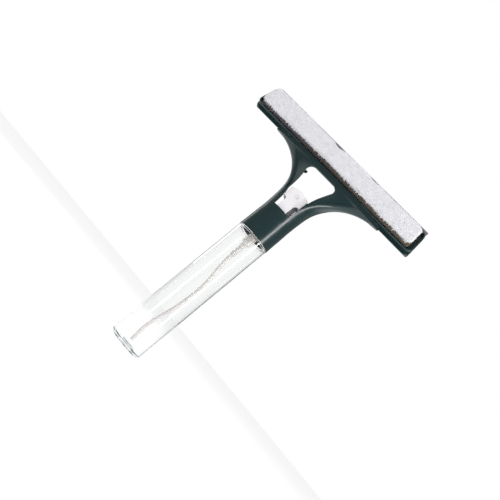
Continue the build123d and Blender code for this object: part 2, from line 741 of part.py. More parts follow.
def dip_tube():
    top = (0, 0, TAIL_END_Z + DIP_INSERT)
    below = (0, 0, TAIL_END_Z - 3)
    route = [(x, y, share * TAIL_END_Z) for x, y, share in DIP_ROUTE]
    points = [Vector(*p) for p in [top, below] + route]
    radii = []
    for a, b, c in zip(points, points[1:], points[2:]):
        turn = radians((b - a).get_angle(c - b))
        radii.append(0.45 * min((b - a).length, (c - b).length) / tan(turn / 2))
    path = FilletPolyline(*points, radius=radii)
    start = Plane(origin=points[0], z_dir=points[1] - points[0])
    solid = sweep(start * Circle(DIP_R), path=path) - sweep(start * Circle(DIP_BORE_R), path=path)
    print("dip tube radii", [round(r) for r in radii], "length", round(path.length, 1))
    return solid


# Actuator

def block_plan(inset):
    half = BLOCK_HALF_W - inset
    front = NOSE_BOTTOM_Y - 4
    plan = Pos(0, (front + BLOCK_REAR_CENTRE_Y) / 2) * Rectangle(
        2 * half, BLOCK_REAR_CENTRE_Y - front
    )
    return plan + Pos(0, BLOCK_REAR_CENTRE_Y) * Circle(half)


def nose_slab(front_shift, depth):
    """The leaning slab behind the actuator's front face."""
    low, high = TONGUE_Z, BLOCK_TOP_Z
    lean = (NOSE_TOP_Y - NOSE_BOTTOM_Y) / (high - low)
    y_low = NOSE_BOTTOM_Y - lean * 10 + front_shift
    y_high = NOSE_TOP_Y + lean * 10 + front_shift
    outline = Polyline(
        (0, y_low, low - 10),
        (0, y_low + depth, low - 10),
        (0, y_high + depth, high + 10),
        (0, y_high, high + 10),
        close=True,
    )
    return extrude(make_face(outline), 30, both=True)


def dome(drop):
    centre = BLOCK_TOP_Z - DOME_R
    return Pos(0, 0, centre) * Rot(90, 0, 0) * Cylinder(DOME_R - drop, 60)


def tongue_outline():
    half, narrow = BLOCK_HALF_W - BLOCK_WALL / 2, TONGUE_W / 2
    outline = make_face(
        Polyline(
            (-narrow, TONGUE_Z),
            (narrow, TONGUE_Z),
            (narrow, BLOCK_Z),
            (half, BLOCK_Z),
            (half, BLOCK_Z + 6),
            (-half, BLOCK_Z + 6),
            (-half, BLOCK_Z),
            (-narrow, BLOCK_Z),
            close=True,
        )
    )
    inner = [v for v in outline.vertices() if abs(abs(v.X) - narrow) < 0.01 and v.Y > BLOCK_Z - 1]
    return fillet(inner, TONGUE_FILLET)


def actuator():
    body = Pos(0, 0, BLOCK_Z) * extrude(block_plan(0), BLOCK_H)
    body &= dome(0)
    body &= nose_slab(0, 40)
    top_edges = [e for e in body.edges() if e.center().Z > BLOCK_Z + BLOCK_H * 0.6]
    body = fillet(top_edges, BLOCK_EDGE_R)
    hollow = Pos(0, 0, BLOCK_Z - 1) * extrude(block_plan(BLOCK_WALL), BLOCK_H)
    hollow &= dome(BLOCK_WALL)
    hollow &= nose_slab(BLOCK_WALL, 40)
    body -= hollow
    tongue = extrude(Plane.XZ * tongue_outline(), 20) & nose_slab(0, TONGUE_T)
    core = tube(SKIRT_R, SKIRT_R - SKIRT_WALL, SKIRT_Z, BLOCK_TOP_Z)
    core += rod(BOSS_R, BLOCK_Z - 3, BLOCK_TOP_Z)
    core += block((-3.2, 3.2), (-30, 0), (NOZZLE_Z - 3.2, BLOCK_TOP_Z))
    body += core & dome(BLOCK_WALL / 2) & nose_slab(BLOCK_WALL / 2, 40)
    body += tongue
    body -= rod(STEM_R, BLOCK_Z - 4, STEM_TOP_Z)
    body -= rod(CHANNEL_R, STEM_TOP_Z - 1, NOZZLE_Z + CHANNEL_R)
    body -= Pos(0, 0, NOZZLE_Z) * Rot(90, 0, 0) * Cylinder(
        CHANNEL_R, 40, align=(Align.CENTER, Align.CENTER, Align.MIN)
    )
    body -= insert_room(INSERT_R)
    return body


def nose_y(z):
    share = (z - TONGUE_Z) / (BLOCK_TOP_Z - TONGUE_Z)
    return NOSE_BOTTOM_Y + (NOSE_TOP_Y - NOSE_BOTTOM_Y) * share


def insert_room(radius):
    back = nose_y(NOZZLE_Z) + INSERT_L
    return Pos(0, back, NOZZLE_Z) * Rot(90, 0, 0) * Cylinder(
        radius, 20, align=(Align.CENTER, Align.CENTER, Align.MIN)
    )


def nozzle_insert():
    front = nose_y(NOZZLE_Z) + 0.35
    back = nose_y(NOZZLE_Z) + INSERT_L
    turn = Rot(90, 0, 0)
    low = (Align.CENTER, Align.CENTER, Align.MIN)
    cup = Pos(0, back, NOZZLE_Z) * turn * Cylinder(INSERT_R - FIT_GAP, back - front, align=low)
    cup -= Pos(0, back + 1, NOZZLE_Z) * turn * Cylinder(SWIRL_R, back - front, align=low)
    cup -= Pos(0, back, NOZZLE_Z) * turn * Cylinder(ORIFICE_R, 20, align=low)
    dish = Pos(0, front - 0.9, NOZZLE_Z) * Sphere(1.4)
    return cup - dish


PARTS = {
    "head_frame": head_frame,
    "pad_tray": pad_tray,
    "wiper_blade": wiper_blade,
    "hook_strips": hook_strips,
    "pad_backing": pad_backing,
    "pad_foam": pad_foam,
    "pad_face": pad_face,
    "bottle": bottle,
    "pump_closure": pump_closure,
    "neck_gasket": neck_gasket,
    "pump_housing": pump_housing,
    "inlet_ball": inlet_ball,
    "guide_sleeve": guide_sleeve,
    "pump_stem": pump_stem,
    "pump_piston": pump_piston,
    "return_spring": return_spring,
    "outlet_ball": outlet_ball,
    "dip_tube": dip_tube,
    "actuator": actuator,
    "nozzle_insert": nozzle_insert,
}


def main():
    os.makedirs("parts", exist_ok=True)
    for name, make in PARTS.items():
        export_step(make(), f"parts/{name}.step")


if __name__ == "__main__":
    main()
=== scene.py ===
"""A spray window squeegee with its looks, laid out as an add-on.

Every piece, or group of like pieces, is made or finished by one operator. Metres, +Z up.
The pad faces -Y and the rubber blade stands behind it.
"""

from math import cos, pi, radians, sin

import bpy
from bpy.props import FloatProperty, FloatVectorProperty, IntProperty, PointerProperty
from mathutils import Matrix, Vector


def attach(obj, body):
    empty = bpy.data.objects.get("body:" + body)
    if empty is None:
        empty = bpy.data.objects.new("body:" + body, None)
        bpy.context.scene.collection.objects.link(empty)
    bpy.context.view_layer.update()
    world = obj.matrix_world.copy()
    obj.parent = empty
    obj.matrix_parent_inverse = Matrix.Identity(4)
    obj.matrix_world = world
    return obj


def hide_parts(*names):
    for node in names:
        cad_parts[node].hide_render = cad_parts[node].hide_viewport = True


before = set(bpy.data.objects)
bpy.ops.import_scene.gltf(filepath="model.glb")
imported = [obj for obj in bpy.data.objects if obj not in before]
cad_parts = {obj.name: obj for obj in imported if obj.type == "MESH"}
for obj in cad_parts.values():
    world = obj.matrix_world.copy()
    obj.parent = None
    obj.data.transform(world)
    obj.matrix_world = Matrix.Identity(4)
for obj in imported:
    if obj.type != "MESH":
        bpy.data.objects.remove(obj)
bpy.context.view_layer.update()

bl_info = {
    "name": "Spray window squeegee",
    "version": (1, 0, 0),
    "blender": (4, 5, 0),
    "location": "3D View > Sidebar > Squeegee",
    "description": "Makes the pieces of a spray window squeegee and the studio round it",
    "category": "Add Mesh",
}

MM = 0.001

# The T-bar's own frame: X along the bar, Y up its face, Z out towards the pad
BAR_TILT = radians(10)
BAR_FRAME = Matrix.Translation((0, -5.0 * MM, 244.8 * MM)) @ Matrix(
    (
        (1, 0, 0, 0),
        (0, sin(BAR_TILT), -cos(BAR_TILT), 0),
        (0, cos(BAR_TILT), sin(BAR_TILT), 0),
        (0, 0, 0, 1),
    )
)
TRAY_H = 27.0 * MM
PAD_LENGTH = 201.4 * MM
PAD_MARGIN = (1.9 * MM, 3.2 * MM)   # inside the tray's lower and upper edges
PAD_LEAN = 1.9 * MM          # each end leans in by this much over the pad's height
PAD_CORNER = 5.0 * MM
HOOK_Z = (-3.2 * MM, -2.3 * MM)
BACKING_Z = (-2.2 * MM, -1.3 * MM)
FOAM_Z = (-1.3 * MM, 6.9 * MM)
COVER_Z = (6.9 * MM, 8.5 * MM)        # knitted ground of the cover, under its pile
LAYER_GAP = 0.1 * MM                  # lifts the loop fabric off the hooks
HOOK_STRIP_L = 84.0 * MM
HOOK_STRIP_H = 15.0 * MM
HOOK_STRIP_X = 48.0 * MM
HOOK_STRIP_CORNER = 1.5 * MM

# Where the cover is caught at its upper edge: place along the bar, depth and reach
DENTS = ((-12 * MM, 1.8 * MM, 7 * MM), (34 * MM, 1.0 * MM, 6 * MM))
DENT_PINCH = 1.2 * MM                 # half the width of the stitch that pulls it in

# The pad's layers as cloth under slight pressure
CLOTH_STEPS = 20
CLOTH_PRESSURE = 4
CLOTH_MASS = 0.2
CLOTH_STRETCH = 12
CLOTH_BEND = 0.4

CAMERA_PLACE = (0.15596, -0.54803, 0.0508)
CAMERA_YAW = radians(15.18)
CAMERA_PITCH = radians(8.95)
CAMERA_ROLL = radians(50.45)
SENSOR_WIDTH = 36
LIGHTS_AIM = (0, 0, 0.2)
FLOOR_RADIUS = 6
WALL_STRENGTH = 1.0                   # of the white round the object
ROOM_STRENGTH = 0.22                  # of what its glossy faces reflect


def srgb(code):
    """Scene-linear red, green and blue of an sRGB hex colour."""
    parts = [int(code[i : i + 2], 16) / 255 for i in (1, 3, 5)]
    return tuple(p / 12.92 if p <= 0.04045 else ((p + 0.055) / 1.055) ** 2.4 for p in parts)


def colour(name, code, description):
    return FloatVectorProperty(
        name=name, description=description, subtype="COLOR", size=3, min=0, max=1, default=srgb(code)
    )


def length(name, millimetres, description):
    return FloatProperty(
        name=name, description=description, unit="LENGTH", precision=5, min=0, default=millimetres * MM
    )


class SqueegeeColours(bpy.types.PropertyGroup):
    head: colour("Head", "#13292B", "Dark green of the moulded head and tray")
    blade: colour("Blade", "#6C6266", "Warm grey of the rubber blade")
    pile: colour("Pile", "#D8D8DC", "White of the microfibre pile")
    foam: colour("Foam", "#5F564B", "Brown grey of the foam behind the pile")
    actuator: colour("Actuator", "#DDDBDE", "White of the finger pump")
    natural: colour("Natural plastic", "#FAF2EC", "Milky colour of the unpigmented pump pieces")
    fabric: colour("Fasteners", "#D9D7D2", "Hook tape and loop fabric behind the pad")


class SqueegeeSizes(bpy.types.PropertyGroup):
    pile_height: length("Pile height", 1.3, "How far the longest tufts of the pile stand up")
    pile_spacing: length("Pile spacing", 0.85, "Least distance between two tufts")
    swell: length("Swell", 0.7, "How far the pad's cloth may swell from its cut shape")
    hook_spacing: length("Hook spacing", 1.1, "Least distance between two hooks of the tape")


class StudioSettings(bpy.types.PropertyGroup):
    key: FloatProperty(
        name="Key light", description="Power of the strip light on the right", unit="POWER", default=7.5
    )
    fill: FloatProperty(
        name="Fill light", description="Power of the soft light above", unit="POWER", default=2.4
    )
    lens: FloatProperty(
        name="Lens", description="Focal length of the camera", unit="CAMERA", default=45.1
    )
    pile_seed: IntProperty(
        name="Pile seed", description="Seed of the random order of tufts and hooks", default=7
    )


# Making meshes

def clear_selection():
    for chosen in list(bpy.context.selected_objects):
        chosen.select_set(False)


def start_piece(name):
    """Names the primitive that was just added."""
    piece = bpy.context.object
    piece.name = name
    piece.data.name = name
    return piece


def make_active(piece):
    clear_selection()
    piece.select_set(True)
    bpy.context.view_layer.objects.active = piece


def pick(piece, kind, test):
    """Selects the corners, edges or faces whose middle and direction pass the test, in edit mode."""
    bpy.ops.object.mode_set(mode="OBJECT")
    mesh = piece.data
    points = mesh.vertices
    bpy.context.tool_settings.mesh_select_mode = (kind == "VERT", kind == "EDGE", kind == "FACE")
    for group in (mesh.vertices, mesh.edges, mesh.polygons):
        for item in group:
            item.select = False
    if kind == "VERT":
        for item in mesh.vertices:
            item.select = test(item.co, item.normal)
    elif kind == "EDGE":
        for item in mesh.edges:
            first, last = (points[i].co for i in item.vertices)
            item.select = test((first + last) / 2, last - first)
    else:
        for item in mesh.polygons:
            item.select = test(item.center, item.normal)
    bpy.ops.object.mode_set(mode="EDIT")


def round_corners(piece, radius, segments):
    """Bevels the edges of a slab that stand upright in the bar's frame."""
    pick(piece, "EDGE", lambda co, along: abs(along.z) > abs(along.x) + abs(along.y))
    bpy.ops.mesh.bevel(offset=radius, segments=segments, affect="EDGES")
    bpy.ops.object.mode_set(mode="OBJECT")


def apply_modifier(piece, kind, **settings):
    modifier = piece.modifiers.new(kind.lower(), kind)
    for key, value in settings.items():
        setattr(modifier, key, value)
    make_active(piece)
    bpy.ops.object.modifier_apply(modifier=modifier.name)


def to_bar(piece):
    """Takes a piece from the bar's own frame to its place, with the place in its mesh."""
    make_active(piece)
    piece.matrix_world = BAR_FRAME @ piece.matrix_world
    bpy.ops.object.transform_apply(location=True, rotation=True, scale=True)


def pad_slab(name, low, high, margin):
    """A flat piece with the pad's outline: narrower at the top, with round corners."""
    clear_selection()
    width = PAD_LENGTH - 2 * margin
    height = TRAY_H - sum(PAD_MARGIN) - 2 * margin
    middle = (TRAY_H + PAD_MARGIN[0] - PAD_MARGIN[1]) / 2
    bpy.ops.mesh.primitive_cube_add(size=1, location=(0, middle, (low + high) / 2))
    piece = start_piece(name)
    piece.scale = (width, height, high - low)
    bpy.ops.object.transform_apply(location=True, rotation=True, scale=True)
    pick(piece, "VERT", lambda co, normal: co.y > middle)
    bpy.ops.transform.resize(
        value=(1 - 2 * PAD_LEAN / width, 1, 1), center_override=(0, middle, 0)
    )
    round_corners(piece, PAD_CORNER - margin, 6)
    return piece


def swell(piece, voxel, cap, held_below):
    """Fills the slab as cloth under slight pressure, held where it is laminated to the layer below."""
    apply_modifier(piece, "REMESH", mode="VOXEL", voxel_size=voxel)
    mesh = piece.data
    cut = [v.co.copy() for v in mesh.vertices]
    held = piece.vertex_groups.new(name="laminated")
    held.add([v.index for v in mesh.vertices if v.co.z < held_below], 1.0, "REPLACE")
    cloth = piece.modifiers.new("cloth", "CLOTH")
    settings = cloth.settings
    settings.quality = 5
    settings.mass = CLOTH_MASS
    settings.use_pressure = True
    settings.uniform_pressure_force = CLOTH_PRESSURE
    settings.vertex_group_mass = held.name
    settings.tension_stiffness = CLOTH_STRETCH
    settings.compression_stiffness = CLOTH_STRETCH
    settings.bending_stiffness = CLOTH_BEND
    settings.effector_weights.gravity = 0
    cloth.point_cache.frame_end = CLOTH_STEPS
    for step in range(1, CLOTH_STEPS + 1):
        bpy.context.scene.frame_set(step)
    make_active(piece)
    bpy.ops.object.modifier_apply(modifier=cloth.name)
    for vertex, start in zip(piece.data.vertices, cut):
        move = vertex.co - start
        if move.length > cap:
            vertex.co = start + move * (cap / move.length)
    bpy.context.scene.frame_set(1)
    piece.vertex_groups.clear()


def dent(piece, along, depth, reach):
    """Presses the upper edge of the pad in at one place."""
    edge = max(v.co.y for v in piece.data.vertices)
    pick(
        piece, "VERT",
        lambda co, normal: abs(co.x - along) < DENT_PINCH and co.y > edge - DENT_PINCH,
    )
    bpy.ops.transform.translate(
        value=(0, -depth, 0), use_proportional_edit=True,
        proportional_edit_falloff="SMOOTH", proportional_size=reach,
    )
    bpy.ops.object.mode_set(mode="OBJECT")


def roughen(piece, grain, depth, direction="NORMAL"):
    """Uneven height of a fabric or foam surface, from a fixed cloud pattern."""
    clouds = bpy.data.textures.new(piece.name + "_grain", "CLOUDS")
    clouds.noise_scale = grain
    clouds.noise_depth = 1
    apply_modifier(
        piece, "DISPLACE", texture=clouds, strength=depth, mid_level=0.5,
        texture_coords="LOCAL", direction=direction,
    )


# Making node trees

def add(tree, kind, inputs=(), links=(), **settings):
    """Adds a node with its settings, input values and links, each link as (input, output)."""
    node = tree.nodes.new(kind)
    for key, value in settings.items():
        setattr(node, key, value)
    for key, value in dict(inputs).items():
        node.inputs[key].default_value = value
    for key, output in dict(links).items():
        tree.links.new(output, node.inputs[key])
    return node


def new_material(name, shader_values):
    """A material with one shader, and the object's coordinates for its patterns."""
    material = bpy.data.materials.new(name)
    material.use_nodes = True
    tree = material.node_tree
    tree.nodes.clear()
    shader = add(tree, "ShaderNodeBsdfPrincipled", inputs=shader_values)
    add(tree, "ShaderNodeOutputMaterial", links={"Surface": shader.outputs["BSDF"]})
    place = add(tree, "ShaderNodeTexCoord").outputs["Object"]
    return material, tree, shader, place


def per(millimetres):
    """A pattern's scale from the size of its marks."""
    return 1 / (millimetres * MM)


def noise(tree, place, size, detail=2.0, stretch=None):
    """Noise whose marks have a real size, drawn out by stretch along each axis."""
    if stretch:
        place = add(
            tree, "ShaderNodeMapping", inputs={"Scale": stretch}, links={"Vector": place}
        ).outputs["Vector"]
    return add(
        tree, "ShaderNodeTexNoise", inputs={"Scale": per(size), "Detail": detail},
        links={"Vector": place},
    ).outputs["Fac"]


def spread(tree, value, low, high):
    """Turns a 0 to 1 pattern into values between low and high."""
    return add(
        tree, "ShaderNodeMapRange",
        inputs={"From Min": 0.3, "From Max": 0.7, "To Min": low, "To Max": high},
        links={"Value": value},
    ).outputs["Result"]


def tint(tree, value, first, second):
    return add(
        tree, "ShaderNodeMix", data_type="RGBA",
        inputs={6: (*first, 1), 7: (*second, 1)}, links={0: value},
    ).outputs[2]


def shade(rgb, share):
    return tuple(min(1.0, part * share) for part in rgb)


def relief(tree, shader, height, depth, strength=1.0, under=None):
    """Bump of a real depth in millimetres, on top of the one under it."""
    links = {"Height": height}
    if under is not None:
        links["Normal"] = under
    bump = add(
        tree, "ShaderNodeBump", inputs={"Strength": strength, "Distance": depth * MM}, links=links
    )
    tree.links.new(bump.outputs["Normal"], shader.inputs["Normal"])
    return bump.outputs["Normal"]


# Making the pile

def tuft(height):
    """One tuft of the pile: a thin four-sided spike with a bent tip."""
    clear_selection()
    bpy.ops.mesh.primitive_cone_add(
        vertices=4, radius1=0.24 * height, radius2=0, depth=height, end_fill_type="NOTHING",
        location=(0, 0, height / 2),
    )
    spike = start_piece("tuft")
    bpy.ops.object.transform_apply(location=True, rotation=True, scale=True)
    pick(spike, "VERT", lambda co, normal: co.z > height * 0.9)
    bpy.ops.transform.translate(value=(0.3 * height, 0.08 * height, 0))
    bpy.ops.object.mode_set(mode="OBJECT")
    bpy.ops.object.shade_smooth()
    return spike


def pile_group(spike, spacing, seed, front=-0.5, hang=2.1):
    """Sets tufts on the faces that look to the front, each turned and sized a little differently.

    Front is how far a face may look away, and hang how much longer the lower tufts are.
    """
    tree = bpy.data.node_groups.new("pile", "GeometryNodeTree")
    tree.interface.new_socket(name="Cloth", in_out="INPUT", socket_type="NodeSocketGeometry")
    tree.interface.new_socket(name="Cloth", in_out="OUTPUT", socket_type="NodeSocketGeometry")
    cloth = add(tree, "NodeGroupInput").outputs[0]
    normal = add(tree, "GeometryNodeInputNormal").outputs[0]
    outward = add(tree, "ShaderNodeSeparateXYZ", links={0: normal}).outputs["Z"]
    chosen = add(
        tree, "FunctionNodeCompare", data_type="FLOAT", operation="GREATER_THAN",
        inputs={1: front}, links={0: outward},
    ).outputs[0]
    points = add(
        tree, "GeometryNodeDistributePointsOnFaces", distribute_method="POISSON",
        inputs={"Distance Min": spacing, "Density Max": 4 / spacing ** 2, "Seed": seed},
        links={"Mesh": cloth, "Selection": chosen},
    )
    lean = add(
        tree, "FunctionNodeRandomValue", data_type="FLOAT_VECTOR",
        inputs={0: (-0.45, -0.45, -pi), 1: (0.45, 0.45, pi), "Seed": seed},
    ).outputs[0]
    turned = add(
        tree, "FunctionNodeRotateRotation", rotation_space="LOCAL",
        links={0: points.outputs["Rotation"], 1: lean},
    ).outputs[0]
    even = add(
        tree, "FunctionNodeRandomValue", data_type="FLOAT",
        inputs={2: 0.55, 3: 1.0, "Seed": seed + 1},
    ).outputs[1]
    facing = add(tree, "ShaderNodeSeparateXYZ", links={0: points.outputs["Normal"]}).outputs
    # the pile hangs down over the foam along the lower side, in uneven locks
    locks = add(
        tree, "ShaderNodeTexNoise", noise_dimensions="3D", inputs={"Scale": per(7), "Detail": 2.0}
    ).outputs["Fac"]
    below = add(
        tree, "ShaderNodeMapRange",
        inputs={"From Min": -0.2, "From Max": -0.9, "To Min": 0.0, "To Max": hang},
        links={"Value": facing["Y"]},
    ).outputs["Result"]
    extra = add(tree, "ShaderNodeMath", operation="MULTIPLY", links={0: below, 1: locks}).outputs[0]
    longer = add(tree, "ShaderNodeMath", operation="ADD", inputs={1: 1.0}, links={0: extra}).outputs[0]
    size = add(tree, "ShaderNodeMath", operation="MULTIPLY", links={0: even, 1: longer}).outputs[0]
    model = add(tree, "GeometryNodeObjectInfo", inputs={"Object": spike}).outputs["Geometry"]
    tufts = add(
        tree, "GeometryNodeInstanceOnPoints",
        links={
            "Points": points.outputs["Points"], "Instance": model, "Rotation": turned, "Scale": size,
        },
    ).outputs[0]
    real = add(tree, "GeometryNodeRealizeInstances", links={0: tufts}).outputs[0]
    both = add(tree, "GeometryNodeJoinGeometry")
    tree.links.new(real, both.inputs[0])
    tree.links.new(cloth, both.inputs[0])
    add(tree, "NodeGroupOutput", links={0: both.outputs[0]})
    return tree


def raise_pile(piece, material, height, spacing, seed, **spread_over):
    """Covers a piece with tufts of its own material."""
    piece.data.materials.append(material)
    spike = tuft(height)
    spike.data.materials.append(material)
    group = pile_group(spike, spacing, seed, **spread_over)
    apply_modifier(piece, "NODES", node_group=group)
    bpy.data.objects.remove(spike)


# Making materials

def abs_satin_green(rgb):
    """ABS moulded in a satin spark-eroded tool: a soft sheen, and a faint swirl in the pigment."""
    material, tree, shader, place = new_material(
        "abs_moulded_satin_green", {"IOR": 1.53, "Metallic": 0.0, "Specular IOR Level": 0.5}
    )
    pigment = noise(tree, place, 24, detail=3)
    tree.links.new(tint(tree, pigment, shade(rgb, 0.9), shade(rgb, 1.1)), shader.inputs["Base Color"])
    tree.links.new(spread(tree, noise(tree, place, 9), 0.21, 0.29), shader.inputs["Roughness"])
    sink = relief(tree, shader, noise(tree, place, 14, detail=1), 0.12, 0.35)
    # the spark texture is about 0.05 mm, drawn at 0.5 mm so that it shows
    relief(tree, shader, noise(tree, place, 0.5), 0.01, 0.4, under=sink)
    return material


def extruded_rubber(rgb):
    """EPDM rubber, extruded and cut: matt, with fine die lines along its length."""
    material, tree, shader, place = new_material(
        "epdm_rubber_extruded", {"IOR": 1.52, "Specular IOR Level": 0.35}
    )
    lines = noise(tree, place, 0.9, detail=3, stretch=(0.02, 1, 1))
    bloom = noise(tree, place, 18, detail=4)
    tree.links.new(tint(tree, bloom, shade(rgb, 0.9), shade(rgb, 1.12)), shader.inputs["Base Color"])
    tree.links.new(spread(tree, lines, 0.52, 0.7), shader.inputs["Roughness"])
    relief(tree, shader, lines, 0.05, 0.5)
    return material


def nylon_hooks(rgb):
    """Nylon hook tape, woven and heat-set: slightly shiny bristles on a ribbed ground."""
    material, tree, shader, place = new_material(
        "nylon_hook_tape_woven", {"IOR": 1.53, "Roughness": 0.45, "Subsurface Weight": 0.1}
    )
    ribs = noise(tree, place, 0.6, detail=1, stretch=(1, 0.3, 0.3))
    tree.links.new(tint(tree, ribs, shade(rgb, 0.8), shade(rgb, 1.05)), shader.inputs["Base Color"])
    relief(tree, shader, ribs, 0.15, 0.6)
    return material


def loop_velour(rgb):
    """Polyester loop velour, knitted and brushed: loose loops about half a millimetre across."""
    material, tree, shader, place = new_material(
        "polyester_loop_velour", {"IOR": 1.5, "Roughness": 0.95, "Sheen Weight": 0.4}
    )
    loops = add(
        tree, "ShaderNodeTexVoronoi", inputs={"Scale": per(0.55)}, links={"Vector": place}
    ).outputs["Distance"]
    tree.links.new(tint(tree, loops, shade(rgb, 1.05), shade(rgb, 0.7)), shader.inputs["Base Color"])
    relief(tree, shader, loops, 0.25, 0.8)
    return material


def open_foam(rgb):
    """Open-cell polyurethane foam, sliced: matt, pitted by cells under a millimetre across."""
    material, tree, shader, place = new_material(
        "polyurethane_foam_open_cell", {"IOR": 1.45, "Roughness": 0.95, "Specular IOR Level": 0.15}
    )
    cells = add(
        tree, "ShaderNodeTexVoronoi", inputs={"Scale": per(0.8)}, links={"Vector": place}
    ).outputs["Distance"]
    # painted shade: the foam's colour darkens and greys towards the left end of the bar, away from the
    # light on the right
    along = add(tree, "ShaderNodeSeparateXYZ", links={0: place}).outputs["X"]
    left_end_shade = add(
        tree, "ShaderNodeMapRange",
        inputs={"From Min": -60 * MM, "From Max": 60 * MM}, links={"Value": along},
    ).outputs["Result"]
    base = tint(tree, left_end_shade, srgb("#544C50"), rgb)
    uneven = add(
        tree, "ShaderNodeMix", data_type="RGBA", blend_type="MULTIPLY", inputs={0: 1.0},
        links={6: base, 7: tint(tree, noise(tree, place, 14, detail=3), (0.8, 0.8, 0.8), (1, 1, 1))},
    ).outputs[2]
    # painted shade: the foam's colour is darkened in the pits of its cells
    pit_shade = add(
        tree, "ShaderNodeMix", data_type="RGBA", blend_type="MULTIPLY",
        inputs={0: 0.6}, links={6: uneven, 7: tint(tree, cells, (0.55, 0.5, 0.48), (1, 1, 1))},
    ).outputs[2]
    tree.links.new(pit_shade, shader.inputs["Base Color"])
    relief(tree, shader, cells, 0.3, 0.8)
    return material


def microfibre_pile(rgb):
    """Split polyester microfibre, knitted and raised: white, dull, with a bloom at grazing light."""
    material, tree, shader, place = new_material(
        "polyester_microfibre_raised",
        {
            "IOR": 1.5,
            "Roughness": 0.95,
            "Specular IOR Level": 0.2,
            "Sheen Weight": 0.35,
            "Sheen Roughness": 0.5,
            "Subsurface Weight": 0.15,
            "Subsurface Radius": (1.0, 1.0, 1.0),
            "Subsurface Scale": 0.6 * MM,
        },
    )
    clumps = noise(tree, place, 2.2, detail=3)
    tree.links.new(tint(tree, clumps, shade(rgb, 0.88), shade(rgb, 1.03)), shader.inputs["Base Color"])
    relief(tree, shader, noise(tree, place, 0.45, detail=1), 0.2, 0.5)
    return material


def let_light_in(tree, shader):
    """Lets the light that falls on what is inside pass the clear wall unbent."""
    ray = add(tree, "ShaderNodeLightPath").outputs
    lighting = add(
        tree, "ShaderNodeMath", operation="MAXIMUM",
        links={0: ray["Is Shadow Ray"], 1: ray["Is Diffuse Ray"]},
    ).outputs[0]
    through = add(
        tree, "ShaderNodeBsdfTransparent", inputs={"Color": (0.92, 0.93, 0.94, 1)}
    ).outputs[0]
    both = add(
        tree, "ShaderNodeMixShader",
        links={0: lighting, 1: shader.outputs["BSDF"], 2: through},
    ).outputs[0]
    output = next(node for node in tree.nodes if node.type == "OUTPUT_MATERIAL")
    tree.links.new(both, output.inputs["Surface"])


def blown_pet():
    """PET, stretch blown from a preform: clear as glass, with slow waves in its wall."""
    material, tree, shader, place = new_material(
        "pet_stretch_blown_clear",
        {"IOR": 1.45, "Roughness": 0.015, "Transmission Weight": 1.0},
    )
    # light crosses more of the wall where the wall turns edge on
    edge_on = add(tree, "ShaderNodeLayerWeight", inputs={"Blend": 0.5}).outputs["Facing"]
    longer_way = add(
        tree, "ShaderNodeMath", operation="POWER", inputs={1: 2.5}, links={0: edge_on}
    ).outputs[0]
    clear = tint(tree, longer_way, (0.975, 0.98, 0.98), (0.62, 0.65, 0.67))
    tree.links.new(clear, shader.inputs["Base Color"])
    waves = noise(tree, place, 11, detail=1, stretch=(1, 1, 0.25))
    relief(tree, shader, waves, 0.12, 0.4)
    let_light_in(tree, shader)
    return material


def polypropylene_white(rgb):
    """Polypropylene, moulded in a polished tool: white, waxy and a little translucent."""
    material, tree, shader, place = new_material(
        "polypropylene_moulded_white",
        {
            "IOR": 1.49,
            "Subsurface Weight": 0.4,
            "Subsurface Radius": (1.0, 0.95, 0.9),
            "Subsurface Scale": 3.0 * MM,
        },
    )
    flow = noise(tree, place, 7, detail=2)
    tree.links.new(tint(tree, flow, shade(rgb, 0.96), shade(rgb, 1.0)), shader.inputs["Base Color"])
    tree.links.new(spread(tree, flow, 0.28, 0.4), shader.inputs["Roughness"])
    relief(tree, shader, noise(tree, place, 5, detail=1), 0.06, 0.3)
    return material


def polyethylene_natural(rgb, clear, name):
    """Polyethylene without pigment: milky, lets light through and blurs what is behind it."""
    material, tree, shader, place = new_material(
        name, {"IOR": 1.51, "Transmission Weight": clear, "Roughness": 0.3, "Subsurface Weight": 0.1}
    )
    haze = noise(tree, place, 6, detail=2)
    tree.links.new(tint(tree, haze, shade(rgb, 0.94), shade(rgb, 1.0)), shader.inputs["Base Color"])
    relief(tree, shader, noise(tree, place, 1.2, detail=1, stretch=(1, 1, 0.1)), 0.03, 0.4)
    return material


def gasket_foam():
    """Pressed polyethylene foam washer: chalky, with a fine skin."""
    material, tree, shader, place = new_material(
        "polyethylene_foam_pressed", {"IOR": 1.5, "Roughness": 0.75}
    )
    skin = noise(tree, place, 0.7, detail=2)
    tree.links.new(tint(tree, skin, srgb("#D6D4CF"), srgb("#ECEBE7")), shader.inputs["Base Color"])
    relief(tree, shader, skin, 0.05, 0.4)
    return material


def stainless_steel():
    """Stainless wire and balls, drawn and tumbled: bright, with fine drawing marks."""
    material, tree, shader, place = new_material("stainless_steel_drawn", {"Metallic": 1.0})
    marks = noise(tree, place, 0.25, detail=2, stretch=(1, 1, 3))
    tree.links.new(tint(tree, marks, srgb("#B9B9BC"), srgb("#D2D2D4")), shader.inputs["Base Color"])
    tree.links.new(spread(tree, marks, 0.16, 0.3), shader.inputs["Roughness"])
    return material


def studio_board():
    """Matt white board."""
    material, tree, shader, place = new_material(
        "matt_white_board", {"Roughness": 0.9, "Specular IOR Level": 0.1}
    )
    grain = noise(tree, place, 30, detail=2)
    tree.links.new(tint(tree, grain, srgb("#F9F9F9"), srgb("#FBFBFB")), shader.inputs["Base Color"])
    return material


def finish_nodes(material, slot, *names):
    """Gives CAD nodes their material."""
    for name in names:
        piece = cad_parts[name]
        piece.data.materials.clear()
        piece.data.materials.append(material)


def finish_piece(piece, material, slot, body, *nodes):
    """Gives a new piece its material and its body, and hides the CAD nodes that it stands for."""
    piece.data.materials.clear()
    piece.data.materials.append(material)
    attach(piece, body)
    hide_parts(*nodes)


# Operators

